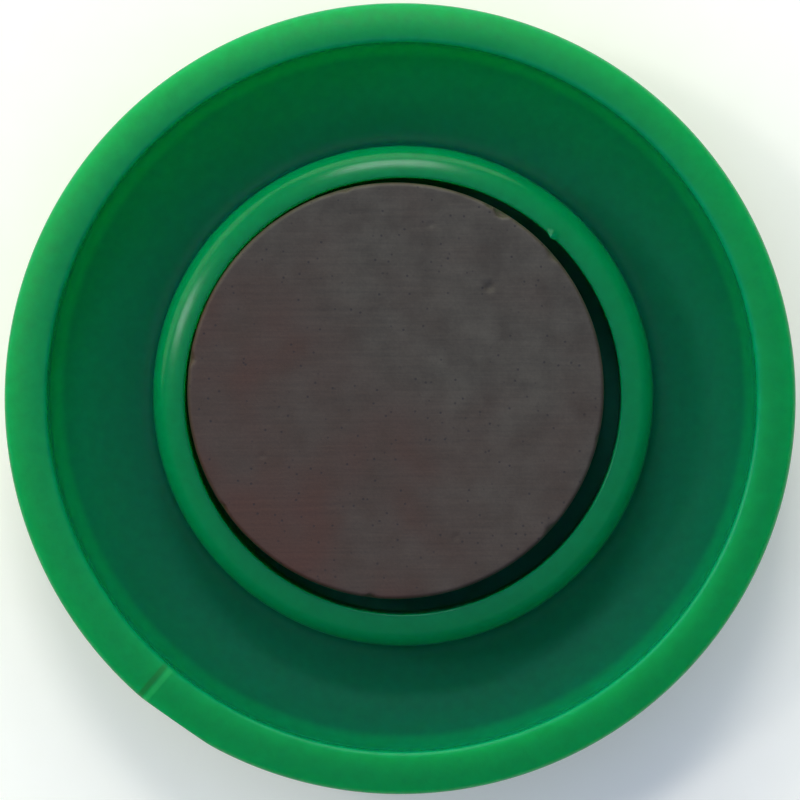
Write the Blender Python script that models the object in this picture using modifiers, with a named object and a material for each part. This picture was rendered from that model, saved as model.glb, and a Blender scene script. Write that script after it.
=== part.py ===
"""Round magnet holder: a moulded plastic cap with a bare ferrite disc bonded into its central socket.

The frame is in metres, +Z up. The origin is on the cap's axis in the holding face, which is the face of
the ferrite disc that meets the steel. +Z points out of that face, so the holder lies on its crown.
Depths are measured down from the plane of the cap's rim.
"""

import math

import bmesh
import bpy

MM = 0.001

# Ferrite disc
MAGNET_RADIUS = 10.0 * MM
MAGNET_THICKNESS = 5.0 * MM
MAGNET_CHAMFER = 0.2 * MM
MAGNET_PROUD = 0.2 * MM  # how far the holding face stands above the rim
MAGNET_PUSH_DEG = 142.0  # the disc was bonded to this side of its socket, counted from +X
MAGNET_WALL_GAP = 0.06 * MM  # left between the disc and the socket wall on that side

# Cap, outside
CAP_RADIUS = 19.0 * MM
SKIRT_DEPTH = 3.2 * MM  # the straight side, before the shoulder curves in
CROWN_FLAT_RADIUS = 9.0 * MM
CROWN_WALL = 1.9 * MM
DRAFT_DEG = 1.0  # taper that lets the moulding leave its tool

# Rim: its top falls away from the inner edge in one gentle arc, down to a small round at the outside
RIM_WIDTH = 1.95 * MM
RIM_INNER_ROUND = 0.35 * MM
RIM_CROWN = 4.0 * MM
RIM_OUTER_ROUND = 0.4 * MM

# Socket: the ring wall round the disc, the ledge under it and the glue well inside the ledge
SOCKET_CLEARANCE = 0.55 * MM  # radial, all round a centred disc
SOCKET_WALL = 1.5 * MM
SOCKET_CREST_DEPTH = 1.0 * MM
CREST_INNER_ROUND = 0.2 * MM
CREST_CROWN = 3.0 * MM
CREST_OUTER_ROUND = 0.8 * MM
SOCKET_FOOT_FILLET = 0.7 * MM
LEDGE_WIDTH = 2.2 * MM
WELL_DEPTH = 1.5 * MM

# Adhesive
BOND_LINE = 0.3 * MM  # film between the disc and its ledge
ADHESIVE_GAP = 0.3 * MM  # keeps the set adhesive's solid clear of the cap and the disc
ADHESIVE_EDGE_ROUND = 0.25 * MM

# Smoothness of the round shapes
TURN_STEPS = 64
INNER_ROUND_STEPS = 2
CROWN_STEPS = 3
OUTER_ROUND_STEPS = 4
FILLET_STEPS = 3
SHOULDER_STEPS = 8
CHAMFER_SEGMENTS = 1
ROUND_EDGE_SEGMENTS = 2
SHARP_EDGE_DEG = 30.0
MERGE_DISTANCE = 0.00001

# Worked out from the sizes above
MAGNET_BACK_DEPTH = MAGNET_THICKNESS - MAGNET_PROUD
LEDGE_DEPTH = MAGNET_BACK_DEPTH + BOND_LINE
WELL_FLOOR_DEPTH = LEDGE_DEPTH + WELL_DEPTH
CAP_HEIGHT = WELL_FLOOR_DEPTH + CROWN_WALL
DRAFT = math.tan(math.radians(DRAFT_DEG))
RIM_INNER_RADIUS = CAP_RADIUS - RIM_WIDTH
SOCKET_RADIUS = MAGNET_RADIUS + SOCKET_CLEARANCE
LEDGE_RADIUS = SOCKET_RADIUS - (LEDGE_DEPTH - SOCKET_CREST_DEPTH) * DRAFT
WELL_RADIUS = LEDGE_RADIUS - LEDGE_WIDTH
MAGNET_OFF_CENTRE = LEDGE_RADIUS - MAGNET_RADIUS - MAGNET_WALL_GAP

# Finishes: name, linear colour, roughness, metallic
GREEN_PLASTIC = ("moulded_green_plastic", (0.004, 0.235, 0.066), 0.28, 0.0)
FERRITE = ("ground_ferrite", (0.068, 0.060, 0.056), 0.62, 0.15)
SET_ADHESIVE = ("set_adhesive", (0.62, 0.56, 0.42), 0.45, 0.0)


def clear_scene():
    """Remove the objects of the startup scene."""
    for obj in list(bpy.data.objects):
        bpy.data.objects.remove(obj, do_unlink=True)


def make_collection(name):
    """Return a new collection linked to the scene."""
    collection = bpy.data.collections.new(name)
    bpy.context.scene.collection.children.link(collection)
    return collection


def make_material(name, colour, roughness, metallic):
    """Return a Principled material of one finish."""
    material = bpy.data.materials.new(name)
    material.use_nodes = True
    shader = material.node_tree.nodes["Principled BSDF"]
    shader.inputs["Base Color"].default_value = (*colour, 1.0)
    shader.inputs["Roughness"].default_value = roughness
    shader.inputs["Metallic"].default_value = metallic
    return material


def height_at(depth):
    """Turn a depth below the rim plane into a height in the part's frame."""
    return -MAGNET_PROUD - depth


def arc(centre_radius, centre_depth, radius, start_deg, end_deg, steps):
    """Points (radius, depth) along a circular arc; 0 degrees is outwards and 90 degrees is up."""
    points = []
    for step in range(steps + 1):
        angle = math.radians(start_deg + (end_deg - start_deg) * step / steps)
        out = centre_radius + radius * math.cos(angle)
        down = centre_depth - radius * math.sin(angle)
        points.append((out, down))
    return points


def fillet(start, corner, end, steps):
    """Points of a curve from start to end that rounds off corner, leaving out both ends."""
    points = []
    for step in range(1, steps):
        t = step / steps
        near, middle, far = (1 - t) ** 2, 2 * t * (1 - t), t * t
        points.append(
            tuple(near * a + middle * b + far * c for a, b, c in zip(start, corner, end))
        )
    return points


def crowned_top(inner_radius, width, depth, inner_round, crown, outer_round):
    """Points over the top of a ring: a small inner round, a gentle crown and a larger outer round.

    Each arc meets the next one smoothly, and the last point is on the ring's straight outer side.
    """
    apex_radius = inner_radius + inner_round
    outer_centre = inner_radius + width - outer_round
    crown_tilt = math.asin((outer_centre - apex_radius) / (crown - outer_round))
    outer_centre_depth = depth + crown - (crown - outer_round) * math.cos(crown_tilt)
    crown_end_deg = 90 - math.degrees(crown_tilt)
    return [
        *arc(apex_radius, depth + inner_round, inner_round, 180, 90, INNER_ROUND_STEPS),
        *arc(apex_radius, depth + crown, crown, 90, crown_end_deg, CROWN_STEPS)[1:],
        *arc(
            outer_centre, outer_centre_depth, outer_round, crown_end_deg, 0, OUTER_ROUND_STEPS
        )[1:],
    ]


class Shoulder:
    """The elliptical curve from a straight side, at SKIRT_DEPTH, in to the crown's flat."""

    def __init__(self, side_radius, flat_depth):
        self.reach = side_radius - CROWN_FLAT_RADIUS
        self.drop = flat_depth - SKIRT_DEPTH

    def share_at(self, radius):
        """How far a radius lies from the flat's edge (0) to the side (1)."""
        return min(max((radius - CROWN_FLAT_RADIUS) / self.reach, 0.0), 1.0)

    def depth_at(self, radius):
        """Depth of the curve at a radius."""
        return SKIRT_DEPTH + self.drop * math.sqrt(1.0 - self.share_at(radius) ** 2)

    def points_from(self, radius, steps):
        """Points along the curve, from a radius out to the straight side."""
        start = math.asin(self.share_at(radius))
        points = []
        for step in range(steps + 1):
            angle = start + (math.pi / 2 - start) * step / steps
            out = CROWN_FLAT_RADIUS + self.reach * math.sin(angle)
            points.append((out, SKIRT_DEPTH + self.drop * math.cos(angle)))
        return points


def socket_profile(floor):
    """Outline from the middle of the glue well, over the ring wall, to the trench floor."""
    crest = crowned_top(
        SOCKET_RADIUS,
        SOCKET_WALL,
        SOCKET_CREST_DEPTH,
        CREST_INNER_ROUND,
        CREST_CROWN,
        CREST_OUTER_ROUND,
    )
    wall_radius, wall_top = crest[-1]
    corner_depth = floor.depth_at(wall_radius)
    corner_radius = wall_radius + (corner_depth - wall_top) * DRAFT
    wall_end = (corner_radius, corner_depth - SOCKET_FOOT_FILLET)
    floor_radius = corner_radius + SOCKET_FOOT_FILLET
    floor_start = (floor_radius, floor.depth_at(floor_radius))
    return [
        (0.0, WELL_FLOOR_DEPTH),
        (WELL_RADIUS, WELL_FLOOR_DEPTH),
        (WELL_RADIUS, LEDGE_DEPTH),
        (LEDGE_RADIUS, LEDGE_DEPTH),
        *crest,
        wall_end,
        *fillet(wall_end, (corner_radius, corner_depth), floor_start, FILLET_STEPS),
        floor_start,
    ]


def cap_profile():
    """The cap's whole outline, from the axis inside, out over the rim, to the axis under the crown."""
    rim = crowned_top(
        RIM_INNER_RADIUS, RIM_WIDTH, 0.0, RIM_INNER_ROUND, RIM_CROWN, RIM_OUTER_ROUND
    )
    inner_radius, inner_top = rim[0]
    outer_radius, outer_top = rim[-1]
    inner_side = inner_radius - (SKIRT_DEPTH - inner_top) * DRAFT
    outer_side = outer_radius - (SKIRT_DEPTH - outer_top) * DRAFT
    floor = Shoulder(inner_side, WELL_FLOOR_DEPTH)
    crown = Shoulder(outer_side, CAP_HEIGHT)
    socket = socket_profile(floor)
    floor_radius = socket[-1][0]
    return [
        *socket,
        *floor.points_from(floor_radius, SHOULDER_STEPS)[1:],
        *rim,
        *reversed(crown.points_from(CROWN_FLAT_RADIUS, SHOULDER_STEPS)),
        (0.0, CAP_HEIGHT),
    ]


def turned_object(name, profile, material, collection):
    """Turn a profile of (radius, depth) points round Z into a solid."""
    mesh = bpy.data.meshes.new(name)
    shape = bmesh.new()
    points = [shape.verts.new((radius, 0.0, height_at(depth))) for radius, depth in profile]
    for first, second in zip(points, points[1:]):
        shape.edges.new((first, second))
    shape.to_mesh(mesh)
    shape.free()
    mesh.materials.append(material)
    obj = bpy.data.objects.new(name, mesh)
    collection.objects.link(obj)
    turn = obj.modifiers.new("turn", "SCREW")
    turn.axis = "Z"
    turn.steps = TURN_STEPS
    turn.render_steps = TURN_STEPS
    turn.use_merge_vertices = True
    turn.merge_threshold = MERGE_DISTANCE
    turn.use_smooth_shade = True
    return obj


def disc_object(name, radius, thickness, edge, edge_segments, material, collection):
    """A disc with its origin at mid thickness and its two rims bevelled."""
    mesh = bpy.data.meshes.new(name)
    shape = bmesh.new()
    bmesh.ops.create_cone(
        shape,
        cap_ends=True,
        segments=TURN_STEPS,
        radius1=radius,
        radius2=radius,
        depth=thickness,
    )
    shape.to_mesh(mesh)
    shape.free()
    mesh.materials.append(material)
    mesh.shade_smooth()
    mesh.set_sharp_from_angle(angle=math.radians(SHARP_EDGE_DEG))
    obj = bpy.data.objects.new(name, mesh)
    collection.objects.link(obj)
    bevel = obj.modifiers.new("edge", "BEVEL")
    bevel.width = edge
    bevel.segments = edge_segments
    bevel.limit_method = "ANGLE"
    return obj


def build_cap(collection):
    """The one-piece moulding: skirt, crown, ring wall, ledge and glue well."""
    return turned_object("cap", cap_profile(), make_material(*GREEN_PLASTIC), collection)


def build_magnet(collection):
    """The ferrite disc, off the cap's axis by the way it was bonded."""
    magnet = disc_object(
        "ferrite_magnet",
        MAGNET_RADIUS,
        MAGNET_THICKNESS,
        MAGNET_CHAMFER,
        CHAMFER_SEGMENTS,
        make_material(*FERRITE),
        collection,
    )
    push = math.radians(MAGNET_PUSH_DEG)
    magnet.location = (
        MAGNET_OFF_CENTRE * math.cos(push),
        MAGNET_OFF_CENTRE * math.sin(push),
        -MAGNET_THICKNESS / 2,
    )
    return magnet


def build_adhesive(collection):
    """The set adhesive that fills the glue well up to the back of the disc."""
    top = MAGNET_BACK_DEPTH + ADHESIVE_GAP
    bottom = WELL_FLOOR_DEPTH - ADHESIVE_GAP
    adhesive = disc_object(
        "adhesive_fill",
        WELL_RADIUS - ADHESIVE_GAP,
        bottom - top,
        ADHESIVE_EDGE_ROUND,
        ROUND_EDGE_SEGMENTS,
        make_material(*SET_ADHESIVE),
        collection,
    )
    adhesive.location.z = height_at((top + bottom) / 2)
    return adhesive


def main():
    """Build the three pieces in the order they are assembled."""
    clear_scene()
    collection = make_collection("round_magnet_holder")
    build_cap(collection)
    build_adhesive(collection)
    build_magnet(collection)


main()
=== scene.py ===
"""Finished look of a round magnet holder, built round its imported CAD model.

The holder lies on its crown with the holding face up. It is three pieces: a moulded green plastic cap, a
bare ferrite disc in the cap's central socket, and the set adhesive under the disc. Lengths are in metres,
in the CAD model's frame: the origin is on the cap's axis in the holding face, and +Z points out of it.
Depths are measured down from the plane of the cap's rim.
"""

import logging
import math
from collections.abc import Callable, Sequence
from dataclasses import dataclass, field
from enum import Enum

import bpy
import numpy as np
from mathutils import Matrix, Vector, noise


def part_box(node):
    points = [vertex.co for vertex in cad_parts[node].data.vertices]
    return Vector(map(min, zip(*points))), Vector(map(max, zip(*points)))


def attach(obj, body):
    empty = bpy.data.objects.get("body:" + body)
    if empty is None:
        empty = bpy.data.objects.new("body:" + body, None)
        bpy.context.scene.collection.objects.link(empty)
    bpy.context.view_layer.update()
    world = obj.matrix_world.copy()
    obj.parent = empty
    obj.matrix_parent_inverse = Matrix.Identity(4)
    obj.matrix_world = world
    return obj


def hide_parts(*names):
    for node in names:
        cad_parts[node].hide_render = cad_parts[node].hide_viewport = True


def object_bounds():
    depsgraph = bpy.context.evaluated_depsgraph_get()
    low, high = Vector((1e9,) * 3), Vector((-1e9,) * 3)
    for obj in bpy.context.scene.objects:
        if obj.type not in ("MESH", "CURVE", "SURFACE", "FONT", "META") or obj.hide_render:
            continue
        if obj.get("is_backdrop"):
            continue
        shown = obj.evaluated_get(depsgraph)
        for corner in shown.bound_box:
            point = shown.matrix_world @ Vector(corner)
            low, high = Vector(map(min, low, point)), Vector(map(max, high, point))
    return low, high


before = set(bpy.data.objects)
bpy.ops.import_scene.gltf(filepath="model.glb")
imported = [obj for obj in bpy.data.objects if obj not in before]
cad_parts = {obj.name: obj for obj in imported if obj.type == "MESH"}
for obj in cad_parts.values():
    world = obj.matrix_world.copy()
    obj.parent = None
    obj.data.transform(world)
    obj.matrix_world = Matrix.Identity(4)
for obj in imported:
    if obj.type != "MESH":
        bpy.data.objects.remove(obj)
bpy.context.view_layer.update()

log = logging.getLogger("magnet_holder")

MM = 0.001
NOISE_RANGE = (0.3, 0.7)

Point = tuple[float, float]
Range = tuple[float, float]
Colour = tuple[float, float, float, float]
Socket = bpy.types.NodeSocket
Tree = bpy.types.NodeTree


class Node(Enum):
    """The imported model's solids."""

    CAP = "cap"
    DISC = "ferrite_magnet"
    ADHESIVE = "adhesive_fill"


class Slot(Enum):
    """The record's material slots."""

    CAP = "cap"
    MAGNET = "magnet"
    ADHESIVE = "adhesive"


# ---------------------------------------------------------------------------------------------- helpers


def linear(hex_colour: str) -> Colour:
    """Turn an sRGB hex colour into linear light.

    Args:
        hex_colour: The colour as "#rrggbb".

    Returns:
        Linear red, green, blue and an alpha of 1.
    """
    channels = []
    for start in (1, 3, 5):
        value = int(hex_colour[start : start + 2], 16) / 255
        channels.append(value / 12.92 if value <= 0.04045 else ((value + 0.055) / 1.055) ** 2.4)
    return (channels[0], channels[1], channels[2], 1.0)


def add_node(
    tree: Tree,
    kind: str,
    inputs: dict[str | int, object] | None = None,
    **settings: object,
) -> bpy.types.Node:
    """Add a node with its settings, its values and its links.

    Args:
        tree: The node tree that it goes into.
        kind: The node's type name.
        inputs: Value or output socket for each input, by name or by number.
        **settings: The node's own properties.

    Returns:
        The new node.
    """
    node = tree.nodes.new(kind)
    for name, value in settings.items():
        setattr(node, name, value)
    for key, value in (inputs or {}).items():
        if isinstance(value, Socket):
            tree.links.new(value, node.inputs[key])
        else:
            node.inputs[key].default_value = value
    return node


def spread(middle: float, half: float) -> Range:
    """The range that reaches half on either side of the middle, upside down if half is negative."""
    return (middle - half, middle + half)


def ramp(
    tree: Tree, value: Socket, source: Range, target: Range = (0.0, 1.0), smooth: bool = False
) -> Socket:
    """Map one range of a value onto another, held at both ends.

    Args:
        tree: The tree that it goes into.
        value: What is mapped.
        source: Where the ramp starts and where it ends.
        target: What it gives at those two.
        smooth: Ease in and out instead of rising evenly.

    Returns:
        The mapped value.
    """
    ends = {"From Min": source[0], "From Max": source[1], "To Min": target[0], "To Max": target[1]}
    return add_node(
        tree,
        "ShaderNodeMapRange",
        {"Value": value, **ends},
        interpolation_type="SMOOTHSTEP" if smooth else "LINEAR",
    ).outputs[0]


def combine(
    tree: Tree,
    operation: str,
    first: Socket | float,
    second: Socket | float = 0.0,
    clamp: bool = False,
) -> Socket:
    """Work out one value from two.

    Args:
        tree: The tree that it goes into.
        operation: The sum's name, such as "ADD".
        first: The first value.
        second: The second value, which some operations leave unused.
        clamp: Hold the result between 0 and 1.

    Returns:
        The result.
    """
    return add_node(
        tree, "ShaderNodeMath", {0: first, 1: second}, operation=operation, use_clamp=clamp
    ).outputs[0]


def blend(tree: Tree, share: Socket, colour: Socket | Colour, other: Socket | Colour) -> Socket:
    """Mix two colours.

    Args:
        tree: The tree that it goes into.
        share: Share of the other colour.
        colour: What a share of 0 gives.
        other: What a share of 1 gives.

    Returns:
        The mixed colour.
    """
    return add_node(
        tree, "ShaderNodeMix", {0: share, 6: colour, 7: other}, data_type="RGBA"
    ).outputs[2]


def toned(tree: Tree, colour: Socket, scale: Socket) -> Socket:
    """Make a colour lighter or darker.

    Args:
        tree: The tree that it goes into.
        colour: The colour.
        scale: What it is multiplied by.

    Returns:
        The new colour.
    """
    return add_node(
        tree, "ShaderNodeVectorMath", {0: colour, "Scale": scale}, operation="SCALE"
    ).outputs[0]


def grain_noise(
    tree: Tree, place: Socket, grain: float, detail: float = 2.0, roughness: float = 0.5
) -> Socket:
    """Soft noise whose bumps are about one grain across.

    Args:
        tree: The tree that it goes into.
        place: Where to read it.
        grain: Width of one bump.
        detail: Number of finer layers.
        roughness: How strong the finer layers are.

    Returns:
        The noise, 0 to 1 and mostly near the middle.
    """
    return add_node(
        tree,
        "ShaderNodeTexNoise",
        {"Vector": place, "Scale": 1 / grain, "Detail": detail, "Roughness": roughness},
    ).outputs["Fac"]


def add_relief(tree: Tree, shader: bpy.types.Node, height: Socket, depth: float) -> None:
    """Give a shader fine relief.

    Args:
        tree: The shader's tree.
        shader: The shader.
        height: The relief's height, where 1 is one depth.
        depth: Height of a full step.
    """
    bump = add_node(tree, "ShaderNodeBump", {"Strength": 1.0, "Distance": depth, "Height": height})
    tree.links.new(bump.outputs[0], shader.inputs["Normal"])


def new_material(name: str) -> tuple[bpy.types.Material, bpy.types.Node, Socket]:
    """Start a material.

    Args:
        name: Its name.

    Returns:
        The material, its shader and its Object coordinates.
    """
    made = bpy.data.materials.new(name)
    made.use_nodes = True
    place = add_node(made.node_tree, "ShaderNodeTexCoord").outputs["Object"]
    return made, made.node_tree.nodes["Principled BSDF"], place


def smooth_step(value: np.ndarray, low: float, high: float) -> np.ndarray:
    """Rise smoothly from 0 at low to 1 at high.

    Args:
        value: Where to read the curve.
        low: Where it leaves 0.
        high: Where it reaches 1.

    Returns:
        The curve's height at each value.
    """
    share = np.clip((value - low) / (high - low), 0.0, 1.0)
    return share * share * (3.0 - 2.0 * share)


def noise_at(points: np.ndarray, grain: float, seed: float) -> np.ndarray:
    """Smooth noise, about -1 to 1, whose bumps are one grain across.

    Args:
        points: Where to read it, one row each.
        grain: Width of one bump.
        seed: Moves the pattern, so that two uses differ.

    Returns:
        The noise at each point.
    """
    offset = Vector((seed, 2.7 * seed, 5.1 * seed))
    return np.array([noise.noise(Vector(point / grain) + offset) for point in points])


# ---------------------------------------------------------------------------------------- turned shapes


class TurnedShape:
    """Turns a profile of (radius, height) points round Z with Geometry Nodes."""

    TREE_NAME = "turned_shape"
    SHARE = "side_shift_share"
    INPUTS = {
        "Profile": "NodeSocketGeometry",
        "Turn Steps": "NodeSocketInt",
        "Weld Distance": "NodeSocketFloat",
        "Side Shift": "NodeSocketVector",
        "Finish": "NodeSocketMaterial",
    }

    def __init__(self, steps: int, weld: float = 0.0001 * MM) -> None:
        """Keep the turning's sizes.

        Args:
            steps: Number of steps in one turn.
            weld: How close two points must be to become one, at the seam and on the axis.
        """
        self.steps = steps
        self.weld = weld

    def tree(self) -> Tree:
        """Build the turning tree, or return it if it is there already.

        Returns:
            A tree with the inputs Profile, Turn Steps, Weld Distance, Side Shift and Finish.
        """
        found = bpy.data.node_groups.get(self.TREE_NAME)
        if found:
            return found
        tree = bpy.data.node_groups.new(self.TREE_NAME, "GeometryNodeTree")
        for name, kind in self.INPUTS.items():
            tree.interface.new_socket(name, in_out="INPUT", socket_type=kind)
        tree.interface.new_socket("Shape", in_out="OUTPUT", socket_type="NodeSocketGeometry")
        given = add_node(tree, "NodeGroupInput").outputs
        rings = add_node(
            tree, "GeometryNodeAttributeDomainSize", {"Geometry": given["Profile"]}
        ).outputs["Point Count"]
        columns = combine(tree, "ADD", given["Turn Steps"], 1.0)
        sheet = add_node(
            tree, "GeometryNodeMeshGrid", {"Vertices X": columns, "Vertices Y": rings}
        ).outputs["Mesh"]
        index = add_node(tree, "GeometryNodeInputIndex").outputs[0]
        turn = combine(tree, "FLOOR", combine(tree, "DIVIDE", index, rings))
        ring = combine(tree, "MODULO", index, rings)
        step_angle = combine(tree, "DIVIDE", math.tau, given["Turn Steps"])
        angle = combine(tree, "MULTIPLY", turn, step_angle)
        profile_point = add_node(
            tree,
            "GeometryNodeSampleIndex",
            {
                "Geometry": given["Profile"],
                "Value": add_node(tree, "GeometryNodeInputPosition").outputs[0],
                "Index": ring,
            },
            data_type="FLOAT_VECTOR",
        ).outputs[0]
        place = add_node(
            tree,
            "ShaderNodeVectorRotate",
            {"Vector": profile_point, "Angle": angle},
            rotation_type="Z_AXIS",
        ).outputs[0]
        share = add_node(
            tree,
            "GeometryNodeSampleIndex",
            {
                "Geometry": given["Profile"],
                "Value": add_node(
                    tree, "GeometryNodeInputNamedAttribute", {"Name": self.SHARE}, data_type="FLOAT"
                ).outputs[0],
                "Index": ring,
            },
            data_type="FLOAT",
        ).outputs[0]
        aside = add_node(
            tree, "ShaderNodeVectorMath", {0: given["Side Shift"], "Scale": share}, operation="SCALE"
        ).outputs[0]
        shifted = add_node(tree, "ShaderNodeVectorMath", {0: place, 1: aside}, operation="ADD").outputs[0]
        turned = add_node(tree, "GeometryNodeSetPosition", {"Geometry": sheet, "Position": shifted})
        welded = add_node(
            tree,
            "GeometryNodeMergeByDistance",
            {"Geometry": turned.outputs[0], "Distance": given["Weld Distance"]},
        )
        smooth = add_node(tree, "GeometryNodeSetShadeSmooth", {"Geometry": welded.outputs[0]})
        real = add_node(tree, "GeometryNodeRealizeInstances", {"Geometry": smooth.outputs[0]})
        dressed = add_node(
            tree,
            "GeometryNodeSetMaterial",
            {"Geometry": real.outputs[0], "Material": given["Finish"]},
        )
        add_node(tree, "NodeGroupOutput", {"Shape": dressed.outputs[0]})
        return tree

    def build(
        self,
        name: str,
        profile: Sequence[Point],
        finish: bpy.types.Material,
        shares: Sequence[float] | None = None,
        side_shift: tuple[float, float, float] = (0.0, 0.0, 0.0),
    ) -> bpy.types.Object:
        """Turn one profile into a plain closed mesh.

        Args:
            name: The piece's name.
            profile: (radius, height) points from the axis under the piece round to the axis on top.
            finish: The material that it gets.
            shares: How much of the side shift each profile point takes, 0 to 1.
            side_shift: How far a point with a share of 1 moves off the axis.

        Returns:
            The piece, at the origin.
        """
        line = bpy.data.meshes.new(f"{name}_profile")
        corners = [(radius, 0.0, height) for radius, height in profile]
        line.from_pydata(corners, [(at, at + 1) for at in range(len(corners) - 1)], [])
        share = line.attributes.new(self.SHARE, "FLOAT", "POINT")
        share.data.foreach_set("value", list(shares or [0.0] * len(corners)))
        piece = bpy.data.objects.new(name, line)
        bpy.context.scene.collection.objects.link(piece)
        modifier = piece.modifiers.new("turn", "NODES")
        modifier.node_group = self.tree()
        sockets = {
            item.name: item.identifier
            for item in modifier.node_group.interface.items_tree
            if item.in_out == "INPUT"
        }
        modifier[sockets["Turn Steps"]] = self.steps
        modifier[sockets["Weld Distance"]] = self.weld
        modifier[sockets["Side Shift"]] = side_shift
        modifier[sockets["Finish"]] = finish
        graph = bpy.context.evaluated_depsgraph_get()
        mesh = bpy.data.meshes.new_from_object(piece.evaluated_get(graph))
        piece.modifiers.remove(modifier)
        piece.data = mesh
        bpy.data.meshes.remove(line)
        mesh.name = name
        return piece


def reshape(piece: bpy.types.Object, move: Callable[[np.ndarray], np.ndarray]) -> None:
    """Move a piece's points.

    Args:
        piece: The piece whose mesh changes.
        move: Takes the points, one row each, and returns where they go.
    """
    mesh = piece.data
    flat = np.empty(len(mesh.vertices) * 3, np.float32)
    mesh.vertices.foreach_get("co", flat)
    points = flat.reshape(-1, 3).astype(np.float64)
    mesh.vertices.foreach_set("co", move(points).astype(np.float32).ravel())
    mesh.update()


def volume_of(piece: bpy.types.Object) -> float:
    """Volume of a closed piece, which is negative when its faces point inwards.

    Args:
        piece: The piece to measure.

    Returns:
        Cubic metres.
    """
    mesh = piece.data
    mesh.calc_loop_triangles()
    flat = np.empty(len(mesh.vertices) * 3, np.float32)
    mesh.vertices.foreach_get("co", flat)
    corners = np.empty(len(mesh.loop_triangles) * 3, np.int32)
    mesh.loop_triangles.foreach_get("vertices", corners)
    shape = flat.reshape(-1, 3).astype(np.float64)[corners.reshape(-1, 3)]
    return float(np.einsum("ij,ij->i", shape[:, 0], np.cross(shape[:, 1], shape[:, 2])).sum() / 6)


def arc(centre: Point, radius: float, start_deg: float, end_deg: float, steps: int) -> list[Point]:
    """Points along a circular arc; 0 degrees is outwards and 90 degrees is up.

    Args:
        centre: The arc's centre, as (radius, depth).
        radius: The arc's own radius.
        start_deg: Where it starts.
        end_deg: Where it ends.
        steps: Number of equal steps.

    Returns:
        (radius, depth) points, both ends among them.
    """
    points = []
    for step in range(steps + 1):
        angle = math.radians(start_deg + (end_deg - start_deg) * step / steps)
        points.append((centre[0] + radius * math.cos(angle), centre[1] - radius * math.sin(angle)))
    return points


def fillet(start: Point, corner: Point, end: Point, steps: int) -> list[Point]:
    """Points of a curve from start to end that rounds off a corner, without its two ends.

    Args:
        start: The last point before the corner.
        corner: The sharp corner itself.
        end: The first point after the corner.
        steps: Number of steps.

    Returns:
        (radius, depth) points.
    """
    points = []
    for step in range(1, steps):
        t = step / steps
        shares = ((1 - t) ** 2, 2 * t * (1 - t), t * t)
        radius, depth = (
            sum(share * value for share, value in zip(shares, values))
            for values in zip(start, corner, end)
        )
        points.append((radius, depth))
    return points


def with_even_steps(points: Sequence[Point], longest: float) -> list[Point]:
    """Split every step of a profile that is too long.

    Args:
        points: The profile.
        longest: The longest step that stays whole.

    Returns:
        The profile with the points added.
    """
    result = [points[0]]
    for start, end in zip(points, points[1:]):
        count = max(1, math.ceil(math.dist(start, end) / longest - 1e-6))
        for step in range(1, count + 1):
            t = step / count
            result.append((start[0] + (end[0] - start[0]) * t, start[1] + (end[1] - start[1]) * t))
    return result


# --------------------------------------------------------------------------------------------- finishes


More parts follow.
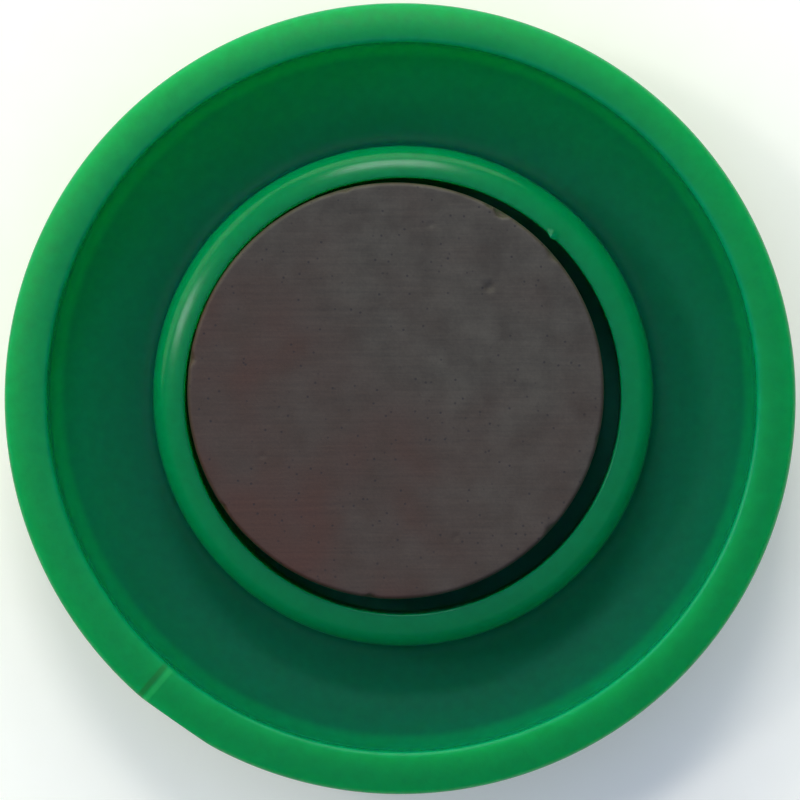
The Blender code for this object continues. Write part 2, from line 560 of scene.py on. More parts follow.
@dataclass(frozen=True)
class GlossMouldedPlastic:
    """Green polystyrene, injection moulded in a polished tool.

    Light soaks several millimetres into it, green furthest, so the narrow rim and ring wall glow. Deeper
    in the hollow a darker, bluer colour is painted in as painted shade, and the inner side of the skirt
    is painted paler as painted light coming through the wall. It is glossy in the hollow, with faint flow
    variation in its colour. The rim's land was rubbed against benches and steel, so it is duller there,
    with a soft mottle.
    """

    body: str = "#007a40"
    flow_tint: str = "#008044"
    # Painted shade: a darker, bluer colour painted into the hollow, more of it the deeper it goes.
    deep: str = "#006449"
    painted_shade_from: float = -1.5 * MM
    painted_shade_full: float = -3.4 * MM
    crown_flat: float = 9.0 * MM
    outer_radius: float = 19.0 * MM
    shoulder_top: float = -3.4 * MM
    crown_bottom: float = -8.7 * MM
    mid_wall: float = 0.89
    # Painted light: a paler colour painted on the inner side of the skirt, rising between the next two
    # radii.
    painted_glow_tint: str = "#007d4e"
    painted_glow_from_radius: float = 16.3 * MM
    painted_glow_full_radius: float = 16.75 * MM
    gate_deg: float = 229.2
    gate_pale: str = "#1a8c4b"
    gate_dull: str = "#166a34"
    streak_width: float = 0.34 * MM
    streak_edge: float = 0.55
    streak_core: float = 0.2
    ior: float = 1.5
    specular_level: float = 0.14
    glow_radius: tuple[float, float, float] = (2.0 * MM, 8.0 * MM, 3.0 * MM)
    hollow_roughness: float = 0.17
    hollow_gloss_spread: float = 0.04
    foot_roughness: float = 0.6
    rim_roughness: float = 0.42
    rim_gloss_spread: float = 0.07
    flow_grain: float = 7 * MM
    mottle_grain: float = 0.55 * MM
    mottle_tone: Range = (0.93, 1.06)
    scuff_grain: float = 0.25 * MM
    scuff_height: float = 0.006 * MM
    rim_from_radius: float = 17.05 * MM
    rim_full_radius: float = 17.35 * MM
    rim_depth: float = 1.2 * MM
    rim_full_share: float = 0.6

    def hollow_share(self, tree: Tree, radius: Socket, height: Socket) -> Socket:
        """Tell the hollow's surface from the cap's outside, by an ellipse half-way through the wall.

        Args:
            tree: The material's tree.
            radius: Distance from the axis.
            height: Z.

        Returns:
            1 in the hollow, 0 outside.
        """
        across = ramp(tree, radius, (self.crown_flat, self.outer_radius))
        down = ramp(tree, height, (self.shoulder_top, self.crown_bottom))
        both = add_node(tree, "ShaderNodeCombineXYZ", {"X": across, "Y": down}).outputs[0]
        reach = add_node(tree, "ShaderNodeVectorMath", {0: both}, operation="LENGTH").outputs["Value"]
        return combine(tree, "LESS_THAN", reach, self.mid_wall)

    def with_gate_streaks(self, tree: Tree, place: Socket, rim: Socket, colour: Socket) -> Socket:
        """Add a dull and a pale streak beside the gate, across the rim's land.

        Args:
            tree: The material's tree.
            place: Object coordinates.
            rim: Share of the rim's land.
            colour: Colour without the streaks.

        Returns:
            The colour with them.
        """
        turned = add_node(
            tree,
            "ShaderNodeMapping",
            {"Vector": place, "Rotation": (0.0, 0.0, -math.radians(self.gate_deg))},
        ).outputs[0]
        axes = add_node(tree, "ShaderNodeSeparateXYZ", {0: turned}).outputs
        land = combine(tree, "MULTIPLY", rim, combine(tree, "GREATER_THAN", axes["X"], 0.0))
        edges = (self.streak_edge * self.streak_width, self.streak_core * self.streak_width)
        for side, tone in ((-0.5, self.gate_dull), (0.5, self.gate_pale)):
            offset = combine(tree, "SUBTRACT", axes["Y"], side * self.streak_width)
            share = ramp(tree, combine(tree, "ABSOLUTE", offset), edges, smooth=True)
            colour = blend(tree, combine(tree, "MULTIPLY", share, land), colour, linear(tone))
        return colour

    def rim_share(self, tree: Tree, radius: Socket, height: Socket) -> Socket:
        """Tell the rim's land from the rest.

        Args:
            tree: The material's tree.
            radius: Distance from the axis.
            height: Z.

        Returns:
            1 on the land, 0 elsewhere.
        """
        outer = ramp(tree, radius, (self.rim_from_radius, self.rim_full_radius), smooth=True)
        top = ramp(tree, height, (-self.rim_depth, -self.rim_full_share * self.rim_depth), smooth=True)
        return combine(tree, "MULTIPLY", outer, top)

    def material(self) -> bpy.types.Material:
        """Build the material.

        Returns:
            A material on Object coordinates.
        """
        made, shader, place = new_material("gloss_moulded_green_polystyrene")
        tree = made.node_tree
        axes = add_node(tree, "ShaderNodeSeparateXYZ", {0: place}).outputs
        flat = add_node(tree, "ShaderNodeCombineXYZ", {"X": axes["X"], "Y": axes["Y"]}).outputs[0]
        radius = add_node(tree, "ShaderNodeVectorMath", {0: flat}, operation="LENGTH").outputs["Value"]
        rim = self.rim_share(tree, radius, axes["Z"])
        inside = self.hollow_share(tree, radius, axes["Z"])
        flow = grain_noise(tree, place, self.flow_grain, 2.0, 0.45)
        mottle = grain_noise(tree, place, self.mottle_grain, 3.0, 0.6)

        colour = blend(tree, flow, linear(self.body), linear(self.flow_tint))
        # Painted shade: the hollow is painted darker and bluer below the rim, down towards its floor.
        below = ramp(tree, axes["Z"], (self.painted_shade_from, self.painted_shade_full), smooth=True)
        depth = combine(tree, "MULTIPLY", below, inside)
        with_painted_shade = blend(tree, depth, colour, linear(self.deep))
        # Painted light: the inner side of the skirt, its thinnest wall, is painted paler to stand in for
        # light coming through it.
        wall = ramp(tree, radius, (self.painted_glow_from_radius, self.painted_glow_full_radius), smooth=True)
        inner_side = combine(tree, "MULTIPLY", wall, inside)
        painted_glow_share = combine(tree, "SUBTRACT", inner_side, rim, clamp=True)
        with_painted_glow = blend(tree, painted_glow_share, with_painted_shade, linear(self.painted_glow_tint))
        streaked = self.with_gate_streaks(tree, place, rim, with_painted_glow)
        mottled = toned(tree, streaked, ramp(tree, mottle, NOISE_RANGE, self.mottle_tone))
        tree.links.new(mottled, shader.inputs["Base Color"])

        hollow = ramp(tree, flow, (0.0, 1.0), spread(self.hollow_roughness, self.hollow_gloss_spread))
        land = ramp(tree, mottle, NOISE_RANGE, spread(self.rim_roughness, self.rim_gloss_spread))
        duller_foot = add_node(
            tree, "ShaderNodeMix", {0: depth, 2: hollow, 3: self.foot_roughness}, data_type="FLOAT"
        ).outputs[0]
        gloss = add_node(
            tree, "ShaderNodeMix", {0: rim, 2: duller_foot, 3: land}, data_type="FLOAT"
        ).outputs[0]
        tree.links.new(gloss, shader.inputs["Roughness"])
        shader.inputs["IOR"].default_value = self.ior
        shader.inputs["Specular IOR Level"].default_value = self.specular_level
        shader.inputs["Subsurface Weight"].default_value = 1.0
        shader.inputs["Subsurface Scale"].default_value = 1.0
        shader.inputs["Subsurface Radius"].default_value = self.glow_radius
        scuffs = grain_noise(tree, place, self.scuff_grain)
        add_relief(tree, shader, combine(tree, "MULTIPLY", scuffs, rim), self.scuff_height)
        return made


@dataclass(frozen=True)
class GroundFerrite:
    """Sintered strontium ferrite, its face ground flat.

    The body is a dark brown-grey ceramic. The wheel leaves fine straight lines along X, the grain makes a
    soft mottle, and iron in the grinding swarf leaves a faint rust tint on one side. The open pores are
    darker. The lines are really some 0.05 mm apart; they are drawn about four times coarser to show.
    """

    body: str = "#3c3128"
    pale: str = "#4d4237"
    warm: str = "#432c21"
    rust: str = "#4f291b"
    pore: str = "#221817"
    ior: float = 1.6
    specular_level: float = 0.2
    line_pitch: float = 0.2 * MM
    line_length: float = 5 * MM
    line_tone: Range = (0.86, 1.14)
    mottle_grain: float = 1.9 * MM
    mottle_range: Range = (0.32, 0.68)
    cloud_grain: float = 6 * MM
    grit_grain: float = 0.14 * MM
    grit_tone: Range = (0.92, 1.08)
    fine_range: Range = (0.25, 0.75)
    pore_grain: float = 0.5 * MM
    pore_range: Range = (0.16, 0.06)
    pore_depth: float = 0.7
    line_height: float = 0.005 * MM
    roughness: float = 0.5
    gloss_spread: float = 0.08
    tint_reach: float = 15 * MM
    tint_start: float = 0.5
    tint_drift: float = 0.3
    rust_range: Range = (0.5, 1.2)
    rust_most: float = 0.7

    def tint_share(self, tree: Tree, place: Socket) -> Socket:
        """Let the tint grow towards -X and -Y, with an edge that wanders with the clouds.

        Args:
            tree: The material's tree.
            place: Coordinates from the face's middle.

        Returns:
            Share of the tint.
        """
        axes = add_node(tree, "ShaderNodeSeparateXYZ", {0: place}).outputs
        across = combine(tree, "ADD", axes["X"], axes["Y"])
        reach = ramp(tree, across, (self.tint_start * self.tint_reach, -self.tint_reach))
        cloud = grain_noise(tree, place, self.cloud_grain)
        drift = ramp(tree, cloud, NOISE_RANGE, (-self.tint_drift, self.tint_drift))
        return combine(tree, "ADD", reach, drift, clamp=True)

    def material(self, centre: Vector) -> bpy.types.Material:
        """Build the material.

        Args:
            centre: Middle of the disc's face, where the tints are centred.

        Returns:
            A material on Object coordinates.
        """
        made, shader, raw = new_material("ground_sintered_ferrite")
        tree = made.node_tree
        place = add_node(tree, "ShaderNodeMapping", {"Vector": raw, "Location": -centre}).outputs[0]
        stretched = add_node(
            tree,
            "ShaderNodeMapping",
            {"Vector": place, "Scale": (1 / self.line_length, 1 / self.line_pitch, 1 / self.line_pitch)},
        ).outputs[0]
        lines = grain_noise(tree, stretched, 1.0, 4.0, 0.65)
        mottle = grain_noise(tree, place, self.mottle_grain, 4.0, 0.6)
        grit = grain_noise(tree, place, self.grit_grain)
        pores = add_node(
            tree, "ShaderNodeTexVoronoi", {"Vector": place, "Scale": 1 / self.pore_grain}
        ).outputs["Distance"]

        mottle_share = ramp(tree, mottle, self.mottle_range)
        grey = blend(tree, mottle_share, linear(self.body), linear(self.pale))
        tint = self.tint_share(tree, place)
        warmed = blend(tree, tint, grey, linear(self.warm))
        rust_share = ramp(tree, tint, self.rust_range, (0.0, self.rust_most), smooth=True)
        rusty = blend(tree, rust_share, warmed, linear(self.rust))
        line_shade = ramp(tree, lines, self.fine_range, self.line_tone)
        grit_shade = ramp(tree, grit, self.fine_range, self.grit_tone)
        lined = toned(tree, rusty, combine(tree, "MULTIPLY", line_shade, grit_shade))
        pore_share = ramp(tree, pores, self.pore_range, (0.0, self.pore_depth))
        pored = blend(tree, pore_share, lined, linear(self.pore))
        tree.links.new(pored, shader.inputs["Base Color"])

        gloss = ramp(tree, mottle, NOISE_RANGE, spread(self.roughness, -self.gloss_spread))
        tree.links.new(gloss, shader.inputs["Roughness"])
        shader.inputs["IOR"].default_value = self.ior
        shader.inputs["Specular IOR Level"].default_value = self.specular_level
        relief = combine(tree, "SUBTRACT", combine(tree, "ADD", lines, grit), pore_share)
        add_relief(tree, shader, relief, self.line_height)
        return made


@dataclass(frozen=True)
class SetHotMelt:
    """Hot-melt adhesive, poured and set: milky amber, waxy, smooth."""

    body: str = "#cbbd93"
    deep: str = "#a8935f"
    roughness: float = 0.35
    cloud_grain: float = 3 * MM

    def material(self) -> bpy.types.Material:
        """Build the material.

        Returns:
            A material on Object coordinates.
        """
        made, shader, place = new_material("set_hot_melt_adhesive")
        tree = made.node_tree
        cloud = grain_noise(tree, place, self.cloud_grain, 3.0)
        colour = blend(tree, cloud, linear(self.deep), linear(self.body))
        tree.links.new(colour, shader.inputs["Base Color"])
        shader.inputs["Roughness"].default_value = self.roughness
        return made


@dataclass(frozen=True)
class StudioPaper:
    """Uncoated white background paper: dead matt, with a barely seen tooth."""

    colour: str = "#fff1e0"
    shade: str = "#fbeddc"
    glow: str = "#fff0e2"
    glow_strength: float = 0.2
    roughness: float = 0.95
    specular_level: float = 0.2
    tooth_grain: float = 1.5 * MM

    def material(self) -> bpy.types.Material:
        """Build the material.

        Returns:
            A material on Object coordinates.
        """
        made, shader, place = new_material("matt_background_paper")
        tree = made.node_tree
        tooth = grain_noise(tree, place, self.tooth_grain)
        colour = blend(tree, tooth, linear(self.shade), linear(self.colour))
        tree.links.new(colour, shader.inputs["Base Color"])
        shader.inputs["Roughness"].default_value = self.roughness
        shader.inputs["Specular IOR Level"].default_value = self.specular_level
        shader.inputs["Emission Color"].default_value = linear(self.glow)
        shader.inputs["Emission Strength"].default_value = self.glow_strength
        return made


# --------------------------------------------------------------------------------------- sub-assemblies


@dataclass
class CapMoulding:
    """The one-piece cap: skirt, crown, rim, ring wall, ledge and glue well."""

    finish: GlossMouldedPlastic = field(default_factory=GlossMouldedPlastic)
    turn_steps: int = 504
    longest_step: float = 0.55 * MM
    draft_deg: float = 0.6
    skirt_depth: float = 3.2 * MM
    crown_flat_radius: float = 9.0 * MM
    rim_width: float = 1.95 * MM
    rim_inner_round: float = 0.2 * MM
    rim_crown: float = 4.0 * MM
    rim_outer_round: float = 0.4 * MM
    socket_clearance: float = 0.5 * MM
    socket_wall: float = 1.55 * MM
    crest_depth: float = 1.0 * MM
    crest_inner_round: float = 0.1 * MM
    crest_crown: float = 4.0 * MM
    crest_fall_deg: float = 8.0
    crest_outer_round: float = 0.8 * MM
    foot_fillet: float = 0.8 * MM
    ledge_width: float = 2.2 * MM
    well_depth: float = 1.5 * MM
    bond_line: float = 0.3 * MM
    mould_offset: float = 0.19 * MM
    mould_offset_deg: float = 225.0
    offset_before_rim: float = 0.35
    offset_from_share: float = 0.8
    parting_drop: float = 0.25 * MM
    parting_ridge: float = 0.03 * MM
    parting_flank: float = 0.7
    parting_width: float = 0.16 * MM
    gate_from_deg: float = 229.2
    gate_to_deg: float = 241.0
    gate_rise_deg: Range = (-0.5, 0.3)
    gate_level_deg: float = 1.5
    gate_step: float = 0.05 * MM
    gate_land: Range = (0.5 * MM, 1.2 * MM)
    gate_cut: Range = (1.6 * MM, 2.4 * MM)
    nib_deg: float = 47.0
    nib_size: float = 0.27 * MM
    nib_reach: float = 0.75
    nib_lean: float = 0.4
    nib_place: Point = (0.03 * MM, 0.05 * MM)
    sink_depth: float = 0.03 * MM
    sink_width: float = 1.1 * MM
    sink_skin: float = 2.2 * MM
    sharp_deg: float = 35.0

    def __post_init__(self) -> None:
        """Read the cap's outer sizes and the disc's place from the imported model."""
        low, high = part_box(Node.CAP.value)
        disc_low, disc_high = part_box(Node.DISC.value)
        self.radius = (high[0] - low[0]) / 2
        self.rim_plane = high[2]
        self.height = high[2] - low[2]
        self.disc_radius = (disc_high[0] - disc_low[0]) / 2
        self.draft = math.tan(math.radians(self.draft_deg))
        self.ledge_depth = self.rim_plane - disc_low[2] + self.bond_line
        self.well_floor = self.ledge_depth + self.well_depth
        self.socket_radius = self.disc_radius + self.socket_clearance
        self.ledge_radius = self.socket_radius - (self.ledge_depth - self.crest_depth) * self.draft
        self.well_radius = self.ledge_radius - self.ledge_width

    def crowned_top(
        self,
        inner_radius: float,
        width: float,
        depth: float,
        inner_round: float,
        crown: float,
        outer_round: float,
        steps: tuple[int, int, int],
    ) -> list[Point]:
        """Points over the top of a ring: a small inner round, a gentle crown and a larger outer round.

        Args:
            inner_radius: Radius of the ring's inner side.
            width: Width of the ring.
            depth: Depth of its highest point.
            inner_round: Radius of the inner round.
            crown: Radius of the gentle crown.
            outer_round: Radius of the outer round.
            steps: Number of steps in each of the three arcs.

        Returns:
            (radius, depth) points from the inner side to the outer side.
        """
        apex = inner_radius + inner_round
        outer_centre = inner_radius + width - outer_round
        tilt = math.asin((outer_centre - apex) / (crown - outer_round))
        outer_depth = depth + crown - (crown - outer_round) * math.cos(tilt)
        crown_end = 90 - math.degrees(tilt)
        return [
            *arc((apex, depth + inner_round), inner_round, 180, 90, steps[0]),
            *arc((apex, depth + crown), crown, 90, crown_end, steps[1])[1:],
            *arc((outer_centre, outer_depth), outer_round, crown_end, 0, steps[2])[1:],
        ]

    def shoulder_depth(self, side_radius: float, flat_depth: float, radius: float) -> float:
        """Depth of an elliptical shoulder at a radius.

        Args:
            side_radius: Radius of the straight side that it leaves.
            flat_depth: Depth of the flat that it reaches.
            radius: Where to read it.

        Returns:
            The depth there.
        """
        share = (radius - self.crown_flat_radius) / (side_radius - self.crown_flat_radius)
        share = min(max(share, 0.0), 1.0)
        return self.skirt_depth + (flat_depth - self.skirt_depth) * math.sqrt(1 - share * share)

    def shoulder(self, side_radius: float, flat_depth: float, start: float, steps: int) -> list[Point]:
        """Points along an elliptical shoulder, outwards from a radius to the straight side.

        Args:
            side_radius: Radius of the straight side.
            flat_depth: Depth of the flat.
            start: Radius of the first point.
            steps: Number of steps.

        Returns:
            (radius, depth) points, both ends among them.
        """
        reach = side_radius - self.crown_flat_radius
        first = math.asin(min(max((start - self.crown_flat_radius) / reach, 0.0), 1.0))
        points = []
        for step in range(steps + 1):
            angle = first + (math.pi / 2 - first) * step / steps
            points.append(
                (
                    self.crown_flat_radius + reach * math.sin(angle),
                    self.skirt_depth + (flat_depth - self.skirt_depth) * math.cos(angle),
                )
            )
        return points

    def profile(self) -> tuple[list[Point], list[float]]:
        """The cap's whole outline, from the axis inside, over the rim, to the axis under the crown.

        Returns:
            (radius, height) points, and each point's share of the offset between the mould's halves.
        """
        rim = self.crowned_top(
            self.radius - self.rim_width,
            self.rim_width,
            0.0,
            self.rim_inner_round,
            self.rim_crown,
            self.rim_outer_round,
            (8, 14, 10),
        )
        inner_side = rim[0][0] - (self.skirt_depth - rim[0][1]) * self.draft
        outer_side = rim[-1][0] - (self.skirt_depth - rim[-1][1]) * self.draft
        crest = self.crowned_top(
            self.socket_radius,
            self.socket_wall,
            self.crest_depth,
            self.crest_inner_round,
            self.crest_crown,
            self.crest_outer_round,
            (6, 12, 14),
        )
        crest_start = self.socket_radius + self.crest_inner_round
        crest = [
            (radius, depth + max(radius - crest_start, 0.0) * math.tan(math.radians(self.crest_fall_deg)))
            for radius, depth in crest
        ]
        wall_radius, wall_top = crest[-1]
        corner_depth = self.shoulder_depth(inner_side, self.well_floor, wall_radius)
        corner_radius = wall_radius + (corner_depth - wall_top) * self.draft
        floor_radius = corner_radius + self.foot_fillet
        wall_end = (corner_radius, corner_depth - self.foot_fillet)
        floor_start = (floor_radius, self.shoulder_depth(inner_side, self.well_floor, floor_radius))
        inside = [
            (0.0, self.well_floor),
            (self.well_radius, self.well_floor),
            (self.well_radius, self.ledge_depth),
            (self.ledge_radius, self.ledge_depth),
            *crest,
            wall_end,
            *fillet(wall_end, (corner_radius, corner_depth), floor_start, 8),
            *self.shoulder(inner_side, self.well_floor, floor_radius, 20),
            *rim,
        ]
        ridge_top = rim[-1][1] + self.parting_drop
        ridge_radius = rim[-1][0] - (ridge_top - rim[-1][1]) * self.draft
        ridge = [
            (ridge_radius + rise * self.parting_ridge, ridge_top + step / 4 * self.parting_width)
            for step, rise in enumerate((0.0, self.parting_flank, 1.0, self.parting_flank, 0.0))
        ]
        outside = [
            *ridge,
            *reversed(self.shoulder(outer_side, self.height, self.crown_flat_radius, 20)),
            (0.0, self.height),
        ]
        inner = with_even_steps(inside, self.longest_step)
        outer = with_even_steps([inside[-1], *outside], self.longest_step)[1:]
        radii = np.array([radius for radius, _ in inner])
        edge = self.radius - self.rim_width
        before = smooth_step(radii, self.offset_from_share * edge, edge)
        over = smooth_step(radii, edge, self.radius)
        shares = self.offset_before_rim * before + (1.0 - self.offset_before_rim) * over
        points = [(radius, self.rim_plane - depth) for radius, depth in [*inner, *outer]]
        return points, [*shares.tolist(), *[1.0] * len(outer)]

    def with_moulding_marks(self, points: np.ndarray) -> np.ndarray:
        """Add what the tool leaves: the trimmed gate, a nib of flash, and the sink under the ring wall.

        Args:
            points: The turned cap's points.

        Returns:
            The points moved.
        """
        radius = np.hypot(points[:, 0], points[:, 1])
        degrees = np.degrees(np.arctan2(points[:, 1], points[:, 0])) % 360
        depth = self.rim_plane - points[:, 2]
        edge = self.radius - self.rim_width
        middle = math.radians((self.gate_from_deg + self.gate_to_deg) / 2)
        half = math.radians((self.gate_to_deg - self.gate_from_deg) / 2)

        on_land = smooth_step(radius, edge, edge + self.gate_land[0]) * (depth < self.gate_land[1])
        rise_from, rise_to = self.gate_rise_deg
        raised = smooth_step(degrees, self.gate_from_deg + rise_from, self.gate_from_deg + rise_to)
        raised *= 1.0 - smooth_step(degrees, self.gate_from_deg + self.gate_level_deg, self.gate_to_deg)
        points[:, 2] += self.gate_step * on_land * raised

        outward = np.array([math.cos(middle), math.sin(middle), 0.0])
        reach = points @ outward
        flat = self.radius * math.cos(half) + self.mould_offset
        high = 1.0 - smooth_step(depth, *self.gate_cut)
        cut = np.clip(reach - flat, 0.0, None) * high * (radius > edge)
        points -= cut[:, None] * outward

        nib = math.radians(self.nib_deg)
        along = np.array([math.cos(nib), math.sin(nib), 0.0])
        up = np.array([0.0, 0.0, 1.0])
        nib_depth = self.crest_depth + self.nib_place[1]
        nib_at = (self.socket_radius + self.nib_place[0]) * along + (self.rim_plane - nib_depth) * up
        away = np.linalg.norm(points - nib_at, axis=1)
        near = np.exp(-((away / (self.nib_reach * self.nib_size)) ** 2))
        points += self.nib_size * near[:, None] * (up - self.nib_lean * along)

        wall = self.socket_radius + self.socket_wall / 2
        below = depth > self.height - self.sink_skin
        points[:, 2] += self.sink_depth * below * np.exp(-(((radius - wall) / self.sink_width) ** 2))
        return points

    def build(self) -> bpy.types.Object:
        """Turn, finish and place the cap.

        Returns:
            The cap.
        """
        profile, shares = self.profile()
        offset = math.radians(self.mould_offset_deg)
        cap = TurnedShape(self.turn_steps).build(
            "cap_moulding",
            profile[::-1],
            self.finish.material(),
            shares[::-1],
            (self.mould_offset * math.cos(offset), self.mould_offset * math.sin(offset), 0.0),
        )
        reshape(cap, self.with_moulding_marks)
        cap.data.set_sharp_from_angle(angle=math.radians(self.sharp_deg))
        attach(cap, "root")
        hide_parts(Node.CAP.value)
        return cap


@dataclass
class FerriteDisc:
    """The bare disc magnet."""

    finish: GroundFerrite = field(default_factory=GroundFerrite)
    turn_steps: int = 384
    ring_step: float = 0.11 * MM
    side_step: float = 0.4 * MM
    back_step: float = 1.5 * MM
    edge_round: float = 0.2 * MM
    edge_wander: float = 0.035 * MM
    wander_grain: float = 0.7 * MM
    wear_reach: float = 0.3 * MM
    wear_slant: float = 0.7
    face_skin: float = 0.01 * MM
    pit_depth: float = 0.6
    sharp_deg: float = 50.0
    pits: tuple[tuple[float, float, float], ...] = (
        (4.5 * MM, 5.0 * MM, 0.2 * MM),
        (1.7 * MM, 8.0 * MM, 0.12 * MM),
        (-6.4 * MM, -3.1 * MM, 0.1 * MM),
        (2.9 * MM, -7.0 * MM, 0.09 * MM),
    )
    chips: tuple[tuple[float, float, float], ...] = (
        (59.5, 0.3 * MM, 0.22 * MM),
        (63.0, 0.16 * MM, 0.1 * MM),
        (41.0, 0.35 * MM, 0.1 * MM),
        (104.0, 0.2 * MM, 0.08 * MM),
        (171.0, 0.25 * MM, 0.09 * MM),
        (214.0, 0.18 * MM, 0.08 * MM),
        (263.0, 0.22 * MM, 0.1 * MM),
        (318.0, 0.3 * MM, 0.09 * MM),
        (347.0, 0.16 * MM, 0.07 * MM),
    )

    def __post_init__(self) -> None:
        """Read the disc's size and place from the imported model."""
        low, high = (Vector(corner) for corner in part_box(Node.DISC.value))
        self.radius = (high.x - low.x) / 2
        self.top = high.z
        self.bottom = low.z
        self.centre = Vector(((low.x + high.x) / 2, (low.y + high.y) / 2, high.z))

    def profile(self) -> list[Point]:
        """The disc's outline, from the middle of its face, over its edge, to the middle of its back.

        Returns:
            (radius, height) points.
        """
        edge = self.edge_round
        inner = self.radius - edge
        thickness = self.top - self.bottom
        outline = [
            (0.0, 0.0),
            *arc((inner, edge), edge, 90, 0, 8),
            *arc((inner, thickness - edge), edge, 0, -90, 4),
        ]
        face = with_even_steps(outline[:2], self.ring_step)
        side = with_even_steps(outline[1:], self.side_step)
        back = with_even_steps([outline[-1], (0.0, thickness)], self.back_step)
        return [(radius, self.top - depth) for radius, depth in [*face, *side[1:], *back[1:]]]

    def with_wear(self, points: np.ndarray) -> np.ndarray:
        """Add the pits in the face, the chips along the edge and the edge's own unevenness.

        Args:
            points: The turned disc's points, round the Z axis.

        Returns:
            The points moved to the disc's place in the cap.
        """
        radius = np.hypot(points[:, 0], points[:, 1])
        outward = points[:, :2] / np.maximum(radius, 1e-9)[:, None]
        on_face = self.top - points[:, 2] < self.face_skin
        for x, y, size in self.pits:
            away = np.hypot(points[:, 0] - x, points[:, 1] - y)
            points[:, 2] -= self.pit_depth * size * on_face * np.exp(-((away / size) ** 2))

        corner = np.hypot(radius - self.radius, points[:, 2] - self.top)
        near_edge = np.exp(-((corner / self.wear_reach) ** 2))
        worn = self.edge_wander * noise_at(points, self.wander_grain, 4.0)
        for degrees, width, depth in self.chips:
            angle = math.radians(degrees)
            chip = (self.radius * math.cos(angle), self.radius * math.sin(angle))
            away = np.hypot(points[:, 0] - chip[0], points[:, 1] - chip[1])
            worn = worn + depth * np.exp(-((away / width) ** 4))
        worn = np.clip(worn, 0.0, None) * near_edge
        points[:, 2] -= worn
        points[:, :2] -= self.wear_slant * worn[:, None] * outward
        return points + np.array([self.centre.x, self.centre.y, 0.0])

    def build(self) -> bpy.types.Object:
        """Turn, finish and place the disc.

        Returns:
            The disc.
        """
        disc = TurnedShape(self.turn_steps).build(
            "ferrite_disc", self.profile()[::-1], self.finish.material(self.centre)
        )
        reshape(disc, self.with_wear)
        disc.data.set_sharp_from_angle(angle=math.radians(self.sharp_deg))
        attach(disc, "root")
        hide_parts(Node.DISC.value)
        return disc


@dataclass
class AdhesiveFill:
    """The set adhesive in the glue well, up to the back of the disc."""

    cap: CapMoulding
    finish: SetHotMelt = field(default_factory=SetHotMelt)
    turn_steps: int = 128
    skin: float = 0.01 * MM
    film_width: float = 1.1 * MM
    film_waist: float = 0.12 * MM
    film_wander: float = 0.02 * MM
    wander_grain: float = 2.5 * MM
    foot_chamfer: float = 0.3 * MM
    longest_step: float = 0.5 * MM

    def build(self) -> bpy.types.Object:
        """Turn, finish and place the adhesive.

        Returns:
            The adhesive.
        """
        cap = self.cap
        floor = cap.rim_plane - cap.well_floor + self.skin
        ledge = cap.rim_plane - cap.ledge_depth + self.skin
        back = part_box(Node.DISC.value)[0][2] - self.skin
        well = cap.well_radius - self.skin
        film = well + self.film_width
        outline = [
            (0.0, floor),
            (well - self.foot_chamfer, floor),
            (well, floor + self.foot_chamfer),
            (well, ledge),
            (film, ledge),
            (film - self.film_waist, (ledge + back) / 2),
            (film, back),
            (0.0, back),
        ]
        profile = with_even_steps(outline, self.longest_step)
        fill = TurnedShape(self.turn_steps).build("adhesive_pour", profile, self.finish.material())

        def wandering(points: np.ndarray) -> np.ndarray:
            """Let the film's edge wander over the ledge."""
            radius = np.hypot(points[:, 0], points[:, 1])
            share = smooth_step(radius, well, film) * self.film_wander
            drift = share * noise_at(points, self.wander_grain, 9.0) / self.film_width
            points[:, :2] *= (1.0 + drift)[:, None]
            return points

        reshape(fill, wandering)
        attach(fill, "root")
        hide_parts(Node.ADHESIVE.value)
        return fill


@dataclass(frozen=True)
class SoftLight:
    """One distant soft light."""

    name: str
    azimuth_deg: float
    off_vertical_deg: float
    width_deg: float
    strength: float
    colour: tuple[float, float, float]

    def build(self) -> bpy.types.Object:
        """Place the light so that it shines at the origin.

        Returns:
            The light.
        """
        lamp = bpy.data.lights.new(self.name, "SUN")
        lamp.energy = self.strength
        lamp.angle = math.radians(self.width_deg)
        lamp.color = self.colour
        light = bpy.data.objects.new(self.name, lamp)
        light.rotation_euler = (
            0.0,
            math.radians(self.off_vertical_deg),
            math.radians(self.azimuth_deg),
        )
        bpy.context.scene.collection.objects.link(light)
        return light


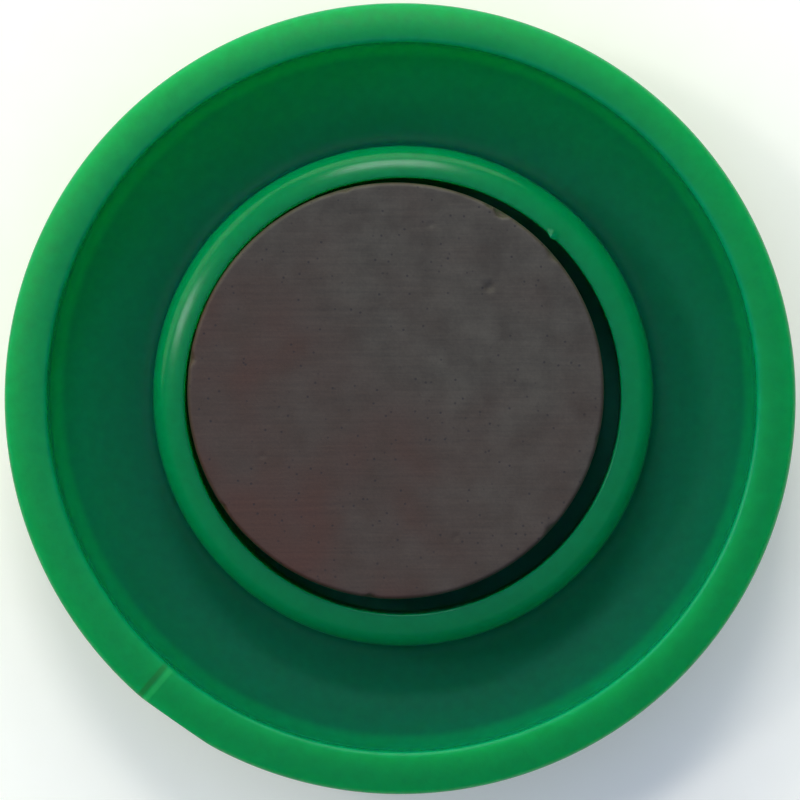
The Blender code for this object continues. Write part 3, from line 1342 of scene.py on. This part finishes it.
@dataclass
class Studio:
    """Floor, lights, surroundings and camera."""

    paper: StudioPaper = field(default_factory=StudioPaper)
    floor_radius: float = 6.0
    floor_corners: int = 64
    camera_distance: float = 0.50
    half_view: float = 19.2 * MM
    aim: tuple[float, float] = (-0.12 * MM, -0.18 * MM)
    camera_lean_deg: float = 1.0
    camera_lean_azimuth_deg: float = 45.0
    sensor: float = 36.0
    clip: Range = (0.01, 20.0)
    lights: tuple[SoftLight, ...] = (
        SoftLight("low_key", 92.0, 72.0, 56.0, 2.35, (0.86, 0.97, 0.76)),
        SoftLight("low_side", 150.0, 68.0, 50.0, 1.4, (0.86, 0.97, 0.76)),
        SoftLight("window_back", 88.0, 34.0, 8.0, 0.32, (0.92, 0.98, 1.0)),
        SoftLight("window_middle", 101.0, 34.0, 8.0, 0.3, (0.92, 0.98, 1.0)),
        SoftLight("window_left", 161.0, 35.0, 8.0, 0.34, (0.92, 0.98, 1.0)),
    )
    ceiling_colour: tuple[float, float, float] = (0.42, 0.62, 1.0)
    ceiling_strength: float = 1.1
    ceiling_rise: Range = (0.45, 0.95)
    wall_strength: float = 0.15
    backdrop: tuple[float, float, float] = (1.0, 1.0, 1.0)

    def build_floor(self) -> bpy.types.Object:
        """A wide paper floor under the crown.

        Returns:
            The floor.
        """
        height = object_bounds()[0][2]
        angles = [math.tau * step / self.floor_corners for step in range(self.floor_corners)]
        corners = [
            (self.floor_radius * math.cos(angle), self.floor_radius * math.sin(angle), height)
            for angle in angles
        ]
        mesh = bpy.data.meshes.new("paper_floor")
        mesh.from_pydata(corners, [], [tuple(range(len(corners)))])
        mesh.materials.append(self.paper.material())
        floor = bpy.data.objects.new("paper_floor", mesh)
        bpy.context.scene.collection.objects.link(floor)
        floor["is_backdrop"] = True
        return floor

    def build_surroundings(self) -> None:
        """A cool ceiling that fades towards the walls, with a plain pale backdrop behind the floor."""
        world = bpy.data.worlds.new("studio")
        world.use_nodes = True
        tree = world.node_tree
        ceiling = tree.nodes["Background"]
        ceiling.inputs["Color"].default_value = (*self.ceiling_colour, 1.0)
        heading = add_node(tree, "ShaderNodeTexCoord").outputs["Generated"]
        rise = add_node(tree, "ShaderNodeSeparateXYZ", {0: heading}).outputs["Z"]
        strengths = (self.wall_strength, self.ceiling_strength)
        strength = ramp(tree, rise, self.ceiling_rise, strengths, smooth=True)
        tree.links.new(strength, ceiling.inputs["Strength"])
        seen = add_node(
            tree, "ShaderNodeBackground", {"Color": (*self.backdrop, 1.0), "Strength": 1.0}
        ).outputs[0]
        directly = add_node(tree, "ShaderNodeLightPath").outputs["Is Camera Ray"]
        both = add_node(
            tree, "ShaderNodeMixShader", {0: directly, 1: ceiling.outputs[0], 2: seen}
        ).outputs[0]
        tree.links.new(both, tree.nodes["World Output"].inputs["Surface"])
        bpy.context.scene.world = world

    def build_camera(self) -> bpy.types.Object:
        """Look straight down on the rim, leaning a little to one side.

        Returns:
            The camera.
        """
        data = bpy.data.cameras.new("camera")
        data.sensor_width = self.sensor
        data.lens = self.sensor / 2 * self.camera_distance / self.half_view
        data.clip_start, data.clip_end = self.clip
        camera = bpy.data.objects.new("camera", data)
        lean = math.radians(self.camera_lean_deg)
        azimuth = math.radians(self.camera_lean_azimuth_deg)
        towards = Vector(
            (math.sin(lean) * math.cos(azimuth), math.sin(lean) * math.sin(azimuth), math.cos(lean))
        )
        target = Vector((*self.aim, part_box(Node.CAP.value)[1][2]))
        right = Vector((0.0, 1.0, 0.0)).cross(towards).normalized()
        up = towards.cross(right)
        turn = Matrix((right, up, towards)).transposed().to_4x4()
        camera.matrix_world = Matrix.Translation(target + towards * self.camera_distance) @ turn
        bpy.context.scene.collection.objects.link(camera)
        bpy.context.scene.camera = camera
        return camera

    def build(self) -> None:
        """Set up the whole studio."""
        self.build_floor()
        self.build_surroundings()
        for light in self.lights:
            light.build()
        self.build_camera()
        bpy.context.scene.view_settings.view_transform = "Standard"


def report(piece: bpy.types.Object) -> None:
    """Log one piece's size.

    Args:
        piece: The piece to report.
    """
    piece.data.calc_loop_triangles()
    log.info(
        "%s: %d triangles, %.1f mm3",
        piece.name,
        len(piece.data.loop_triangles),
        volume_of(piece) / MM**3,
    )


def main() -> None:
    """Build the holder's pieces in the order that they are put together, then the studio."""
    logging.basicConfig(level=logging.INFO, format="%(name)s: %(message)s")
    cap = CapMoulding()
    report(cap.build())
    report(AdhesiveFill(cap).build())
    report(FerriteDisc().build())
    Studio().build()


if __name__ == "__main__":
    main()
